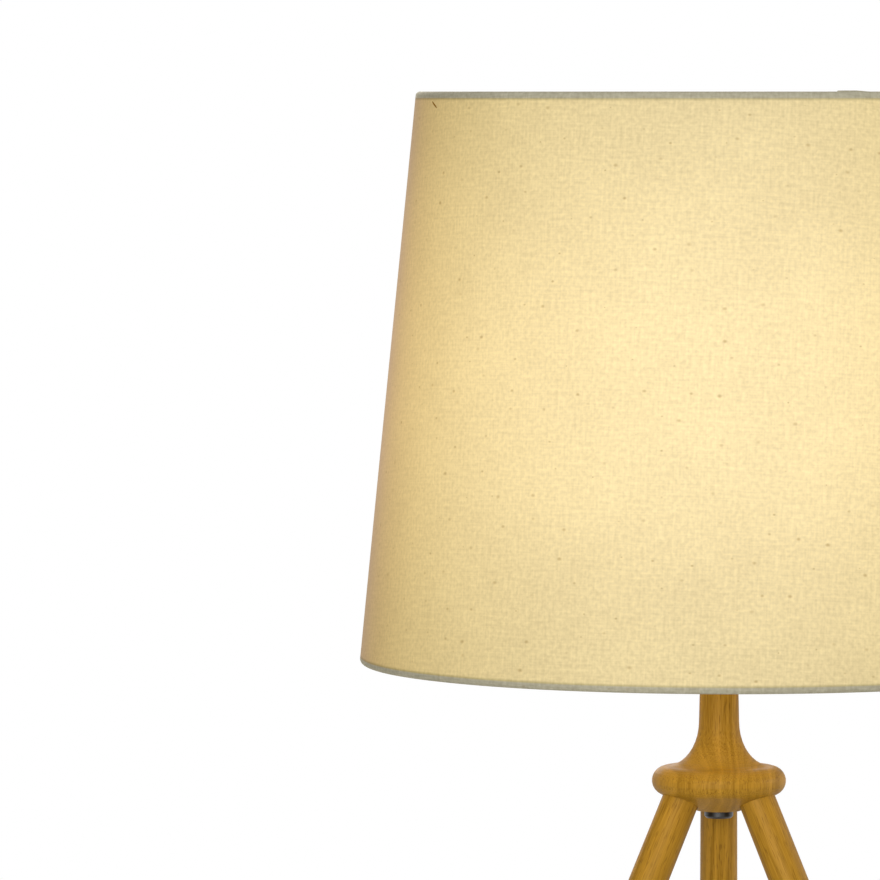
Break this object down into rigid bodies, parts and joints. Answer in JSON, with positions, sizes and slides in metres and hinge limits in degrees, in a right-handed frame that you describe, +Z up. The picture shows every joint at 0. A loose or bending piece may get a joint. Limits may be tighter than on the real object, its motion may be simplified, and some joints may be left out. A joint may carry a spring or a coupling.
{
  "type": "tripod table lamp",
  "caption": "Table lamp: turned wooden hub on splayed round legs, screw lampholder with push-bar switch, opal bulb, and a tapered natural-cloth drum shade on a ring fitting.",
  "frame": {"origin": "on the table, on the lamp's axis, at the middle of the box round the whole lamp", "axes": "+Z up along the lamp's axis; the front faces -Y, with two legs forward and one leg back; +X to the right seen from the front"},
  "size_m": [0.35, 0.35, 0.6],
  "materials": {
    "turned_wood": "clear satin lacquer on honey-brown turned hardwood",
    "brass": "turned, plain",
    "nickel_brass": "nickel-plated brass sheet",
    "zinc_steel": "bright zinc plate",
    "black_rubber": "moulded, matt",
    "black_plastic": "moulded thermosetting plastic, satin",
    "white_plastic": "moulded, satin",
    "steatite": "unglazed pressed ceramic",
    "white_wire": "white powder coat on steel wire",
    "shade_film": "thin translucent plastic film",
    "shade_cloth": "plain-woven natural linen and cotton with slubs, lit from inside",
    "opal_globe": "opal diffuser, lit warm white"
  },
  "bodies": {
    "base": {"hub": "turned_wood", "leg_left": "turned_wood", "leg_right": "turned_wood", "leg_back": "turned_wood", "leg_inserts": "brass", "leg_bolts": "zinc_steel", "foot_pads": "black_rubber", "foot_nails": "zinc_steel", "tube": "zinc_steel", "tube_washer": "zinc_steel", "tube_nut": "zinc_steel", "cord_bush": "black_plastic", "neck_collar": "brass", "neck_nut": "zinc_steel", "holder_cap": "black_plastic", "grip_screw": "zinc_steel", "holder_body": "black_plastic", "contact_block": "steatite", "terminals": "brass", "terminal_screws": "zinc_steel", "screw_shell": "nickel_brass", "center_contact": "brass"},
    "switch": {"switch_bar": "black_plastic", "switch_bridge": "brass"},
    "retaining_ring": {"shade_ring": "black_plastic"},
    "shade": {"shade_carrier": "white_wire", "ring_top": "white_wire", "shade_lining": "shade_film", "shade_cover": "shade_cloth"},
    "bulb": {"bulb_globe": "opal_globe", "bulb_housing": "white_plastic", "bulb_cap": "nickel_brass", "bulb_insulator": "black_plastic", "bulb_tip": "nickel_brass", "led_board": "white_plastic"}
  },
  "joints": [
    {"name": "switch_push", "type": "slide", "parent": "base", "child": "switch", "axis": [1, 0, 0], "range_m": [-0.006, 0]},
    {"name": "shade_turn", "type": "hinge", "parent": "base", "child": "shade", "pos_m": [0, 0, 0.374], "axis": [0, 0, 1], "continuous": true},
    {"name": "ring_unscrew", "type": "hinge", "parent": "base", "child": "retaining_ring", "pos_m": [0, 0, 0.3755], "axis": [0, 0, 1], "range_deg": [0, 1080]},
    {"name": "bulb_unscrew", "type": "hinge", "parent": "base", "child": "bulb", "pos_m": [0, 0, 0.372], "axis": [0, 0, 1], "range_deg": [0, 1800]}
  ]
}
